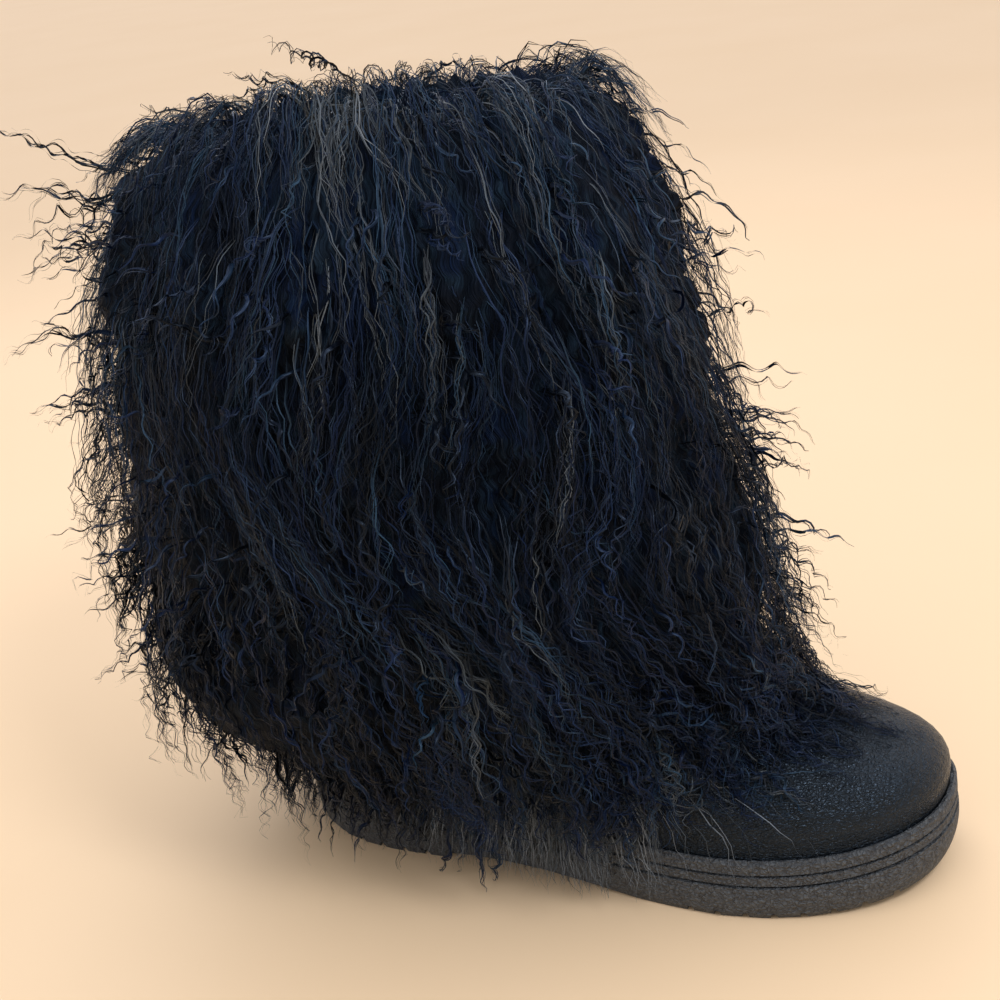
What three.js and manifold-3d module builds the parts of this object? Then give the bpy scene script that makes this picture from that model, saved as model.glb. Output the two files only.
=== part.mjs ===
// Winter boot with a long curly fur shaft, right foot: platform sole, hollow hide upper and deep fur.
// Millimetres, +X towards the toe, +Y towards the inner (medial) side, +Z up, standing on z = 0.
import * as THREE from "three";
import { mergeVertices } from "three/addons/utils/BufferGeometryUtils.js";
import Module from "manifold-3d";

// Driving dimensions
const soleLength = 272;
const heelEnd = -soleLength / 2;
const toeSpring = { start: 70, rise: 8 };
const outsoleTop = 15.2;
const midsoleHeight = 4.5;
const weltHeight = 5.7;
const layerGap = 0.3;
const edgeChamfer = { drop: 0.45, inset: 1.2 };
const insoleHeight = 5.6;
const wall = 2.6;
const collarHeight = 287;
const aroundSteps = 44;

const midsoleBase = outsoleTop + layerGap;
const midsoleTop = midsoleBase + midsoleHeight;
const upperBase = midsoleTop + layerGap;
const weltTop = upperBase + weltHeight;

// Plan of the sole: half width and sideways shift of its centre line, along the length from heel to toe.
const planRows = [
  { along: 0.0, half: 38.0, shift: 0.0 },
  { along: 0.2, half: 38.3, shift: 0.0 },
  { along: 0.32, half: 36.8, shift: -1.8 },
  { along: 0.45, half: 37.3, shift: -3.8 },
  { along: 0.58, half: 44.0, shift: -3.0 },
  { along: 0.7, half: 49.5, shift: -0.6 },
  { along: 0.84, half: 50.0, shift: 3.0 },
  { along: 1.0, half: 50.0, shift: 7.0 },
];
const heelRound = { share: 0.2, power: 2.2 };
const toeRound = { share: 0.3, power: 2.3 };
const ballHalf = 50;

// Level sections of the upper: where each starts and ends, its half width, and its way from foot plan to oval.
const sectionRows = [
  { height: upperBase, back: -130, front: 130.8, half: 45.8, oval: 0 },
  { height: 28, back: -132.4, front: 134, half: 48.2, oval: 0 },
  { height: 34, back: -133, front: 133.6, half: 48.6, oval: 0 },
  { height: 39.5, back: -133, front: 130.6, half: 48.2, oval: 0 },
  { height: 44.5, back: -132.9, front: 125, half: 47, oval: 0 },
  { height: 49, back: -132.7, front: 116.5, half: 45.6, oval: 0 },
  { height: 53, back: -132.4, front: 105.5, half: 44.4, oval: 0 },
  { height: 58.5, back: -131.8, front: 91.5, half: 43, oval: 0.01 },
  { height: 67, back: -130.9, front: 76, half: 42, oval: 0.04 },
  { height: 79, back: -129.4, front: 62, half: 41.4, oval: 0.12 },
  { height: 91, back: -127.7, front: 50.5, half: 41.4, oval: 0.26 },
  { height: 104, back: -126.2, front: 38.5, half: 42.4, oval: 0.44 },
  { height: 120, back: -125.2, front: 26.5, half: 44.4, oval: 0.63 },
  { height: 142, back: -125.6, front: 17.5, half: 47.2, oval: 0.82 },
  { height: 170, back: -127.5, front: 12, half: 49.8, oval: 0.95 },
  { height: 205, back: -130, front: 8.5, half: 52, oval: 1 },
  { height: 246, back: -132, front: 6.8, half: 53.4, oval: 1 },
  { height: collarHeight, back: -133, front: 6, half: 54, oval: 1 },
];
const springFade = { from: 40, to: 104 };

// Fur: how far the mass stands out from the hide behind, beside and before it, by height on the hide.
const furRows = [
  { height: 60, back: 16, side: 9, front: 6, hang: 16 },
  { height: 76, back: 49, side: 28, front: 18, hang: 14 },
  { height: 98, back: 66, side: 42, front: 36, hang: 9 },
  { height: 128, back: 69, side: 49, front: 46, hang: 5 },
  { height: 165, back: 65, side: 49, front: 46, hang: 2 },
  { height: 205, back: 57, side: 47, front: 43, hang: 0 },
  { height: 246, back: 47, side: 42, front: 37, hang: -2 },
  { height: 276, back: 35, side: 32, front: 28, hang: -8 },
  { height: collarHeight, back: 14, side: 14, front: 12, hang: -17 },
];
const furHemRise = 10;
const furRidge = { around: 11, depth: 2.6, lean: 0.9 };
const furGap = 0.4;

// Locks: each row hangs over the one below, from a root in the mass to a free wavy tip.
const lockRows = [
  { height: 110, count: 15, fall: 70, width: 16, lift: 8 },
  { height: 154, count: 15, fall: 68, width: 16, lift: 11 },
  { height: 198, count: 14, fall: 66, width: 16, lift: 14 },
  { height: 240, count: 12, fall: 58, width: 15, lift: 19 },
  { height: 278, count: 11, fall: 46, width: 13, lift: 26 },
];
const lockShape = { rings: 4, sides: 4, tip: 0.12, flat: 0.5, sink: 7, short: 0.5 };
const lockWave = { width: 8, waves: 1.3, uneven: 0.13 };
const furFloor = 9;
const furSliver = 0.05;

// Tread: shallow arch in front of the heel, and grooves across heel and forefoot that leave the lugs.
const archRow = { breast: -62, rise: 4.3, end: 36 };
const lugRows = [
  { start: -124, pitch: 10.5, count: 6 },
  { start: 44, pitch: 10.5, count: 8 },
];
const groove = { width: 3.2, depth: 3 };
const treadEdge = { height: 3.2, inset: 2.4 };
const sideBulge = 0.8;

const wasm = await Module();
wasm.setup();

// Materials
const paint = (color, roughness) => new THREE.MeshStandardMaterial({ color, roughness, metalness: 0 });
const soleRubber = paint(0x2b2a28, 0.7);
const crackleHide = paint(0x141619, 0.45);
const blackFur = paint(0x10131a, 0.8);
const fleece = paint(0x1b1c20, 0.95);

// Interpolation in tables
const clamp01 = (t) => Math.min(1, Math.max(0, t));
const mix = (a, b, t) => a + (b - a) * t;
const easeStep = (t) => clamp01(t) ** 2 * (3 - 2 * clamp01(t));

function tableAt(rows, key, value) {
  const last = rows.length - 1;
  let i = 0;
  while (i < last - 1 && value > rows[i + 1][key]) i += 1;
  const t = clamp01((value - rows[i][key]) / (rows[i + 1][key] - rows[i][key]));
  const row = {};
  for (const name of Object.keys(rows[i])) row[name] = mix(rows[i][name], rows[i + 1][name], t);
  return row;
}

// Same as tableAt, but with slopes that run on smoothly from row to row.
function smoothAt(rows, key, name, value) {
  const last = rows.length - 1;
  let i = 0;
  while (i < last - 1 && value > rows[i + 1][key]) i += 1;
  const slope = (k) => {
    const a = rows[Math.max(0, k - 1)];
    const b = rows[Math.min(last, k + 1)];
    return (b[name] - a[name]) / (b[key] - a[key]);
  };
  const span = rows[i + 1][key] - rows[i][key];
  const t = clamp01((value - rows[i][key]) / span);
  const bend = t * (1 - t) * span;
  return mix(rows[i][name], rows[i + 1][name], easeStep(t)) + bend * (slope(i) * (1 - t) - slope(i + 1) * t);
}

// Outlines: rings of points that start at the heel, run along the outer side to the toe and come back inside.
const springSpan = soleLength / 2 - toeSpring.start;
const springAt = (x) => toeSpring.rise * clamp01((x - toeSpring.start) / springSpan) ** 2;
const roundEnd = (t, power) => (1 - clamp01(t) ** power) ** (1 / power);

function planAt(along) {
  const heelShare = roundEnd(1 - along / heelRound.share, heelRound.power);
  const toeShare = roundEnd(1 - (1 - along) / toeRound.share, toeRound.power);
  return {
    half: smoothAt(planRows, "along", "half", along) * heelShare * toeShare,
    shift: smoothAt(planRows, "along", "shift", along),
  };
}

function ringStep(i) {
  const turn = (2 * Math.PI * i) / aroundSteps;
  return { along: (1 - Math.cos(turn)) / 2, side: -Math.sign(Math.round(Math.sin(turn) * 1e6)), turn };
}

function soleRing(height, inset) {
  const ring = [];
  for (let i = 0; i < aroundSteps; i += 1) {
    const { along, side } = ringStep(i);
    const plan = planAt(along);
    const x = mix(heelEnd + inset, -heelEnd - inset, along);
    const shrink = (ballHalf - inset) / ballHalf;
    const y = plan.shift + side * plan.half * shrink;
    ring.push(new THREE.Vector3(x, y, height + springAt(x)));
  }
  return ring;
}

function sectionPoint(i, height) {
  const row = tableAt(sectionRows, "height", height);
  const { along, side, turn } = ringStep(i);
  const plan = planAt(along);
  const x = mix(row.back, row.front, along);
  const foot = (plan.shift + side * plan.half) * (row.half / ballHalf);
  const oval = -row.half * Math.sin(turn);
  const fade = 1 - easeStep((height - springFade.from) / (springFade.to - springFade.from));
  return new THREE.Vector3(x, mix(foot, oval, row.oval), height + springAt(x) * fade);
}

const sectionRing = (height) => Array.from({ length: aroundSteps }, (_, i) => sectionPoint(i, height));

// Outward direction of the upper's surface at a ring point, from its neighbours round and above.
const surfaceStep = 0.5;

function outwardAt(i, height) {
  const ahead = sectionPoint((i + 1) % aroundSteps, height);
  const behind = sectionPoint((i + aroundSteps - 1) % aroundSteps, height);
  const above = sectionPoint(i, Math.min(height + surfaceStep, collarHeight));
  const below = sectionPoint(i, Math.max(height - surfaceStep, upperBase));
  return ahead.sub(behind).cross(above.sub(below)).normalize();
}

const levelOutwardAt = (i, height) => outwardAt(i, height).setZ(0).normalize();

function offsetRing(height, distance) {
  return sectionRing(height).map((p, i) => p.addScaledVector(levelOutwardAt(i, height), distance));
}

// Solids from rings
function geometryOf(rings, faces) {
  const positions = rings.flat().flatMap((p) => [p.x, p.y, p.z]);
  const geometry = new THREE.BufferGeometry();
  geometry.setAttribute("position", new THREE.Float32BufferAttribute(positions, 3));
  geometry.setIndex(faces);
  return geometry;
}

function bandFaces(lower, upper, count) {
  const faces = [];
  for (let i = 0; i < count; i += 1) {
    const next = (i + 1) % count;
    faces.push(lower + i, lower + next, upper + next, lower + i, upper + next, upper + i);
  }
  return faces;
}

// A cap of strips from the outer side to the inner side, so that it follows the toe spring.
function capFaces(first, count, faceUp) {
  const faces = [];
  const put = (a, b, c) => faces.push(first + a, first + (faceUp ? b : c), first + (faceUp ? c : b));
  put(0, 1, count - 1);
  for (let i = 1; i < count / 2 - 1; i += 1) {
    put(i, i + 1, count - i - 1);
    put(i, count - i - 1, count - i);
  }
  put(count / 2 - 1, count / 2, count / 2 + 1);
  return faces;
}

function plugGeometry(rings) {
  const count = rings[0].length;
  const faces = [...capFaces(0, count, false), ...capFaces((rings.length - 1) * count, count, true)];
  for (let k = 0; k < rings.length - 1; k += 1) faces.push(...bandFaces(k * count, (k + 1) * count, count));
  return geometryOf(rings, faces);
}

// The rings run up the outside and down the inside, and the last one joins the first.
function sleeveGeometry(rings) {
  const count = rings[0].length;
  const faces = [];
  for (let k = 0; k < rings.length; k += 1) {
    faces.push(...bandFaces(k * count, ((k + 1) % rings.length) * count, count));
  }
  return geometryOf(rings, faces);
}

// Solid joins and cuts
function solidOf(geometry) {
  const bare = geometry.clone();
  for (const name of ["normal", "uv"]) bare.deleteAttribute(name);
  const merged = mergeVertices(bare, 1e-4);
  return new wasm.Manifold(
    new wasm.Mesh({
      numProp: 3,
      vertProperties: new Float32Array(merged.attributes.position.array),
      triVerts: new Uint32Array(merged.index.array),
    }),
  );
}

function geometryFrom(solid) {
  const mesh = solid.getMesh();
  const geometry = new THREE.BufferGeometry();
  geometry.setAttribute("position", new THREE.BufferAttribute(new Float32Array(mesh.vertProperties), 3));
  geometry.setIndex(new THREE.BufferAttribute(new Uint32Array(mesh.triVerts), 1));
  return geometry;
}

// Outsole: moulded rubber with a rounded tread edge, a shallow arch and lugs
function outsoleGeometry() {
  const body = plugGeometry([
    soleRing(0, treadEdge.inset),
    soleRing(treadEdge.height, 0.6),
    soleRing(outsoleTop * 0.6, -sideBulge),
    soleRing(outsoleTop - edgeChamfer.drop, -0.3),
    soleRing(outsoleTop, edgeChamfer.inset),
  ]);
  const across = 2.4 * ballHalf;
  const acrossBlock = (shape) => {
    const block = new THREE.ExtrudeGeometry(shape, { depth: across, bevelEnabled: false, curveSegments: 5 });
    return block.rotateX(Math.PI / 2).translate(0, across / 2, 0);
  };
  const arch = new THREE.Shape();
  arch.moveTo(archRow.breast, -1);
  arch.lineTo(archRow.breast + 1, archRow.rise * 0.8);
  arch.quadraticCurveTo(archRow.breast + 30, archRow.rise * 1.5, archRow.end, -1);
  let solid = solidOf(body).subtract(solidOf(acrossBlock(arch)));
  for (const { start, pitch, count } of lugRows) {
    for (let k = 0; k < count; k += 1) {
      const x = start + k * pitch;
      const roof = springAt(x) + groove.depth;
      const slot = new THREE.Shape();
      slot.moveTo(x - groove.width / 2, -1);
      slot.lineTo(x + groove.width / 2, -1);
      slot.lineTo(x + groove.width / 4, roof);
      slot.lineTo(x - groove.width / 4, roof);
      solid = solid.subtract(solidOf(acrossBlock(slot)));
    }
  }
  return geometryFrom(solid);
}

// Midsole: thin band with chamfered edges, which leave a dark line above and below it
function midsoleGeometry() {
  return plugGeometry([
    soleRing(midsoleBase, edgeChamfer.inset),
    soleRing(midsoleBase + edgeChamfer.drop, 0),
    soleRing(midsoleTop - edgeChamfer.drop, 0),
    soleRing(midsoleTop, edgeChamfer.inset),
  ]);
}

// Welt: rim round the foot of the upper
function weltGeometry() {
  return sleeveGeometry([
    soleRing(upperBase, edgeChamfer.inset),
    soleRing(upperBase + edgeChamfer.drop, 0),
    soleRing(weltTop - 1.4, 0.2),
    soleRing(weltTop, 1.3),
    offsetRing(weltTop, layerGap),
    offsetRing(upperBase, layerGap),
  ]);
}

// Insole: flat bed inside the upper
function insoleGeometry() {
  const raise = (ring, rise) => ring.map((p) => p.clone().setZ(p.z + rise));
  const edge = offsetRing(upperBase, -wall - layerGap);
  const rounded = offsetRing(upperBase, -wall - layerGap - 1);
  return plugGeometry([edge, raise(edge, insoleHeight - 1), raise(rounded, insoleHeight)]);
}

// Upper: one hollow wall from the sole to the collar, open below and above
function upperGeometry() {
  const outer = sectionRows.map(({ height }) => sectionRing(height));
  const inner = sectionRows.map(({ height }, k) => {
    if (k === 0 || k === sectionRows.length - 1) return offsetRing(height, -wall);
    return outer[k].map((point, i) => point.clone().addScaledVector(outwardAt(i, height), -wall));
  });
  return sleeveGeometry([...outer, ...inner.reverse()]);
}

// Fur: a thick mass round the shaft with hanging locks fused on, cut clear of the hide
function furReach(row, turn) {
  const lengthwise = -Math.cos(turn);
  const end = lengthwise < 0 ? row.back : row.front;
  return mix(row.side, end, lengthwise ** 2);
}

const frontnessAt = (turn) => clamp01(-Math.cos(turn)) ** 2;

const hemHeight = (height, turn) => {
  const share = clamp01((collarHeight - height) / (collarHeight - furRows[0].height));
  return height + furHemRise * frontnessAt(turn) * share;
};

function furPoint(turn, height, ridge) {
  const row = tableAt(furRows, "height", height);
  const i = (turn / (2 * Math.PI)) * aroundSteps;
  const onHide = hemHeight(height, turn);
  const point = sectionPoint(i, onHide);
  const outward = sectionPoint(i + 0.5, onHide).sub(sectionPoint(i - 0.5, onHide));
  outward.cross(new THREE.Vector3(0, 0, 1)).normalize();
  const hang = row.hang > 0 ? row.hang * (1 - 1.25 * frontnessAt(turn)) : row.hang;
  point.addScaledVector(outward, furReach(row, turn) + ridge);
  point.z -= hang;
  return { point, outward };
}

function furMass() {
  const rings = furRows.map(({ height }, k) =>
    Array.from({ length: aroundSteps }, (_, i) => {
      const turn = (2 * Math.PI * i) / aroundSteps;
      const inside = k > 0 && k < furRows.length - 1;
      const ridge = inside ? furRidge.depth * Math.cos(furRidge.around * turn + furRidge.lean * k) : 0;
      return furPoint(turn, height, ridge).point;
    }),
  );
  return solidOf(plugGeometry(rings));
}

function lockSolid(row, k, rowIndex) {
  const uneven = lockWave.uneven * Math.sin(5.3 * k + 2.1 * rowIndex + 0.4);
  const turn = (2 * Math.PI * (k + 0.5 * (rowIndex % 2) + uneven)) / row.count;
  const phase = 2.4 * k + 1.7 * rowIndex;
  const fall = row.fall * (1 - lockShape.short * frontnessAt(turn) * (rowIndex === 0));
  const rings = Array.from({ length: lockShape.rings + 1 }, (_, n) => {
    const t = n / lockShape.rings;
    const height = row.height - fall * t;
    const { point, outward } = furPoint(turn, height, mix(-lockShape.sink, row.lift, t ** 1.3));
    const sideways = new THREE.Vector3(outward.y, -outward.x, 0);
    point.addScaledVector(sideways, lockWave.width * t * Math.sin(2 * Math.PI * lockWave.waves * t + phase));
    point.z = Math.max(furFloor, point.z - Math.max(0, furRows[0].height - height));
    const half = row.width * mix(1, lockShape.tip, t ** 1.4);
    return Array.from({ length: lockShape.sides }, (_, side) => {
      const angle = (2 * Math.PI * side) / lockShape.sides;
      const spread = sideways.clone().multiplyScalar(half * Math.cos(angle));
      return point.clone().add(spread).addScaledVector(outward, lockShape.flat * half * Math.sin(angle));
    });
  });
  return solidOf(plugGeometry(rings.reverse()));
}

function furGeometry() {
  const locks = lockRows.flatMap((row, rowIndex) => {
    return Array.from({ length: row.count }, (_, k) => lockSolid(row, k, rowIndex));
  });
  const solid = wasm.Manifold.union([furMass(), ...locks]);
  const hideRings = sectionRows.map(({ height }) => {
    return sectionRing(height).map((p, i) => p.addScaledVector(outwardAt(i, height), furGap));
  });
  const mouth = hideRings.at(-1).map((p) => p.clone().setZ(collarHeight + 60));
  const cut = solid.subtract(solidOf(plugGeometry([...hideRings, mouth])));
  // Pockets closed in between crossing locks are filled: only the outer shell is kept, without slivers.
  const shells = cut.decompose().sort((a, b) => b.volume() - a.volume());
  return geometryFrom(shells[0].simplify(furSliver));
}

// Assembly, with the origin under the middle of the whole boot
function piece(name, geometry, material) {
  const mesh = new THREE.Mesh(geometry, material);
  mesh.name = name;
  return mesh;
}

const boot = new THREE.Group();
boot.add(
  piece("outsole", outsoleGeometry(), soleRubber),
  piece("midsole", midsoleGeometry(), soleRubber),
  piece("welt", weltGeometry(), soleRubber),
  piece("insole", insoleGeometry(), fleece),
  piece("upper", upperGeometry(), crackleHide),
  piece("fur", furGeometry(), blackFur),
);
const extent = new THREE.Box3().setFromObject(boot);
const middle = extent.getCenter(new THREE.Vector3());
boot.position.set(-middle.x, -middle.y, -extent.min.z);

const part = new THREE.Group();
part.add(boot);

export default part;
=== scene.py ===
import math
from functools import partial

import bmesh
import bpy
import numpy as np
from mathutils import Matrix, Vector, noise
from mathutils.bvhtree import BVHTree


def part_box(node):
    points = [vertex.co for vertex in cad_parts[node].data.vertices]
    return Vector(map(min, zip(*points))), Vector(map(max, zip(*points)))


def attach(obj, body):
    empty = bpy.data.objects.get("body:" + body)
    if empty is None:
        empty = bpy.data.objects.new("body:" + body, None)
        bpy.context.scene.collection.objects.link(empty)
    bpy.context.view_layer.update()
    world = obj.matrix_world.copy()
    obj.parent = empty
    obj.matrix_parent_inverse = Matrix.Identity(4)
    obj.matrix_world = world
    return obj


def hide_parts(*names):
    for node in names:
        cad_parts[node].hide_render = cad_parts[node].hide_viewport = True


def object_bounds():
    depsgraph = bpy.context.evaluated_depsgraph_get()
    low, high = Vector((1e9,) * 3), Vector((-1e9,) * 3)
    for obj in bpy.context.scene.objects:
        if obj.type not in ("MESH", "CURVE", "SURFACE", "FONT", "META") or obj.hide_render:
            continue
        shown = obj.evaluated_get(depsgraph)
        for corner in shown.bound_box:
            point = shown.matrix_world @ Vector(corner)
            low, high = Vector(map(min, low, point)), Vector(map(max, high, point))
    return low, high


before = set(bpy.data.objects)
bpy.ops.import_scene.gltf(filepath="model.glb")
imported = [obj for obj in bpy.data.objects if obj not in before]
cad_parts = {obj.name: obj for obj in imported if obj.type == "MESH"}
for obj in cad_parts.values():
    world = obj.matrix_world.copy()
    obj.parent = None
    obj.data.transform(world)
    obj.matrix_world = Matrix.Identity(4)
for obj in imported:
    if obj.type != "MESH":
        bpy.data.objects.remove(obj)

cadBox = [list(corner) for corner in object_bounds()]
scene = bpy.context.scene
mm = 0.001
fullTurn = 2 * np.pi
anyPhase = 6.28                                       # about one whole wave, for random starts
rng = np.random.default_rng(73)
soleOffset = 0.215                                    # mm from the sole's middle to the boot's middle line
treadLow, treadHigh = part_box("outsole")
bootX = (treadLow.x + treadHigh.x) / 2                # the boot's own zero, under the middle of the sole
bootY = (treadLow.y + treadHigh.y) / 2 - soleOffset * mm
toneColumns = 48                                      # hair tones side by side in the strands' UV map
print("frame loaded, box", cadBox)


def linear(code):
    parts = [int(code[i:i + 2], 16) / 255 for i in (1, 3, 5)]
    return tuple(p / 12.92 if p <= 0.04045 else ((p + 0.055) / 1.055) ** 2.4 for p in parts) + (1.0,)


# a link comes from a socket, or from a node's first output
def addNode(tree, kind, settings=None, values=None, links=None, stops=None):
    made = tree.nodes.new("ShaderNode" + kind)
    for name, value in (settings or {}).items():
        setattr(made, name, value)
    for name, value in (values or {}).items():
        made.inputs[name].default_value = value
    for name, source in (links or {}).items():
        socket = source if isinstance(source, bpy.types.NodeSocket) else source.outputs[0]
        tree.links.new(socket, made.inputs[name])
    for i, (place, colour) in enumerate(stops or []):
        ramp = made.color_ramp.elements
        stop = ramp[i] if i < 2 else ramp.new(place)
        stop.position = place
        stop.color = linear(colour)
    return made


def newMaterial(name):
    made = bpy.data.materials.new(name)
    made.use_nodes = True
    made.node_tree.nodes.clear()
    return made, partial(addNode, made.node_tree)


def addPiece(name, mesh, material, nodes=()):
    mesh.materials.clear()
    mesh.materials.append(material)
    piece = bpy.data.objects.new(name, mesh)
    scene.collection.objects.link(piece)
    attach(piece, "root")
    if nodes:
        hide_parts(*nodes)
    return piece


# settings that the materials share; in their looks, sizes of a pattern and heights of its relief are in mm
timesPlus = {"operation": "MULTIPLY_ADD"}
colourMix = {"data_type": "RGBA"}
softly = {"interpolation_type": "SMOOTHSTEP"}
flat = {"noise_dimensions": "2D"}


# flat-topped cells with warped edges between them
def crackleTops(add, place, look):
    warp = add("TexNoise", values={"Scale": 1 / (look["warp"] * mm)}, links={"Vector": place})
    shift = add("VectorMath", {"operation": "SCALE"}, {"Scale": look["warpBy"] * mm},
                {0: warp.outputs["Color"]})
    bent = add("VectorMath", {"operation": "ADD"}, links={0: place, 1: shift})
    cells = add("TexVoronoi", {"feature": "DISTANCE_TO_EDGE"}, {"Scale": 1 / (look["cell"] * mm)},
                {"Vector": bent})
    return add("MapRange", softly, {"From Max": look["edge"]}, {"Value": cells})


# crackle-finished leather: short wrinkles along the foot with flat tops between them,
# so the toe glints in many small dashes
def crackleLeather():
    look = {"wrinkle": 1.9, "cell": 1.6, "edge": 0.2, "warp": 2.6, "warpBy": 1.8, "grit": 0.6, "patch": 24,
            "flatter": 1.9, "top": "#05080c", "crack": "#010203", "scuff": "#0a0f15", "relief": 0.28,
            "rough": (0.2, 0.34)}
    made, add = newMaterial("crackle_finished_leather")
    place = add("TexCoord").outputs["Object"]
    drawn = add("Mapping", values={"Scale": (1.0, 1.0, look["flatter"])}, links={"Vector": place})
    tops = crackleTops(add, drawn, look)
    fold = add("TexNoise", links={"Vector": drawn},
               values={"Scale": 1 / (look["wrinkle"] * mm), "Roughness": 0.55})
    grit = add("TexNoise", values={"Scale": 1 / (look["grit"] * mm)}, links={"Vector": place})
    folded = add("Math", timesPlus, {1: 3.2}, {0: fold, 2: tops})
    height = add("Math", timesPlus, {1: 0.6}, {0: grit, 2: folded})
    bump = add("Bump", values={"Distance": look["relief"] * mm}, links={"Height": height})
    broad = add("TexNoise", values={"Scale": 1 / (look["patch"] * mm), "Detail": 4.0},
                links={"Vector": place})
    scuff = add("MapRange", values={"From Min": 0.48, "From Max": 0.75, "To Max": 0.5},
                links={"Value": broad})
    whole = add("Mix", colourMix, {6: linear(look["crack"]), 7: linear(look["top"])}, {0: tops})
    worn = add("Mix", colourMix, {7: linear(look["scuff"])}, {0: scuff, 6: whole.outputs[2]})
    smooth, dull = look["rough"]
    rough = add("MapRange", links={"Value": broad},
                values={"From Min": 0.35, "From Max": 0.65, "To Min": smooth, "To Max": dull})
    skin = add("BsdfPrincipled",
               values={"IOR": 1.5, "Specular IOR Level": 0.42, "Specular Tint": linear("#c4dcf2")},
               links={"Base Color": worn.outputs[2], "Roughness": rough, "Normal": bump})
    add("OutputMaterial", links={"Surface": skin})
    return made


# moulded rubber: matt grey-black, its side cast with a rough crackle that catches the light; its raised
# grain is painted paler as a highlight and its hollows darker as painted shade
def mouldedRubber():
    look = {"cell": 1.9, "edge": 0.3, "warp": 3.0, "warpBy": 2.4, "lump": 2.2, "grit": 0.5,
            "high": "#4a4d4e", "low": "#282a2c", "relief": 0.6, "rough": (0.5, 0.72)}
    made, add = newMaterial("moulded_rubber")
    place = add("TexCoord").outputs["Object"]
    tops = crackleTops(add, place, look)
    lump = add("TexNoise", values={"Scale": 1 / (look["lump"] * mm), "Detail": 4.0}, links={"Vector": place})
    grit = add("TexNoise", values={"Scale": 1 / (look["grit"] * mm), "Detail": 3.0}, links={"Vector": place})
    rise = add("Math", timesPlus, {1: 4.0}, {0: lump, 2: tops})
    height = add("Math", timesPlus, {1: 0.5}, {0: grit, 2: rise})
    bump = add("Bump", values={"Distance": look["relief"] * mm}, links={"Height": height})
    # painted highlight and shade: the raised grain and crackle tops take the pale colour, the hollows the
    # dark one
    spread = add("MapRange", values={"From Min": 1.6, "From Max": 3.6}, links={"Value": rise})
    tone = add("Mix", colourMix, {6: linear(look["low"]), 7: linear(look["high"])}, {0: spread})
    smooth, dull = look["rough"]
    rough = add("MapRange", links={"Value": grit},
                values={"From Min": 0.3, "From Max": 0.7, "To Min": smooth, "To Max": dull})
    skin = add("BsdfPrincipled", values={"IOR": 1.52, "Specular IOR Level": 0.5},
               links={"Base Color": tone.outputs[2], "Roughness": rough, "Normal": bump})
    add("OutputMaterial", links={"Surface": skin})
    return made


# knitted pile fleece: soft, dull and clumped, with a pale bloom at grazing angles, and darker down in the
# pile as painted shade
def pileFleece():
    look = {"clump": 3.8, "fibre": 0.9, "deep": "#020203", "tip": "#222226", "relief": 3.2}
    made, add = newMaterial("knitted_pile_fleece")
    place = add("TexCoord").outputs["Object"]
    clump = add("TexNoise", links={"Vector": place},
                values={"Scale": 1 / (look["clump"] * mm), "Detail": 3.0, "Distortion": 0.6})
    fibre = add("TexNoise", values={"Scale": 1 / (look["fibre"] * mm)}, links={"Vector": place})
    height = add("Math", timesPlus, {1: 0.5}, {0: fibre, 2: clump})
    bump = add("Bump", values={"Distance": look["relief"] * mm}, links={"Height": height})
    # painted shade: the low parts of the pile take the deep colour, the raised tufts the tip colour
    spread = add("MapRange", values={"From Min": 0.55, "From Max": 1.05}, links={"Value": height})
    tone = add("Mix", colourMix, {6: linear(look["deep"]), 7: linear(look["tip"])}, {0: spread})
    skin = add("BsdfPrincipled", links={"Base Color": tone.outputs[2], "Normal": bump},
               values={"Roughness": 0.95, "Specular IOR Level": 0.15, "Sheen Weight": 0.2,
                       "Sheen Roughness": 0.5})
    add("OutputMaterial", links={"Surface": skin})
    return made


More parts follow.
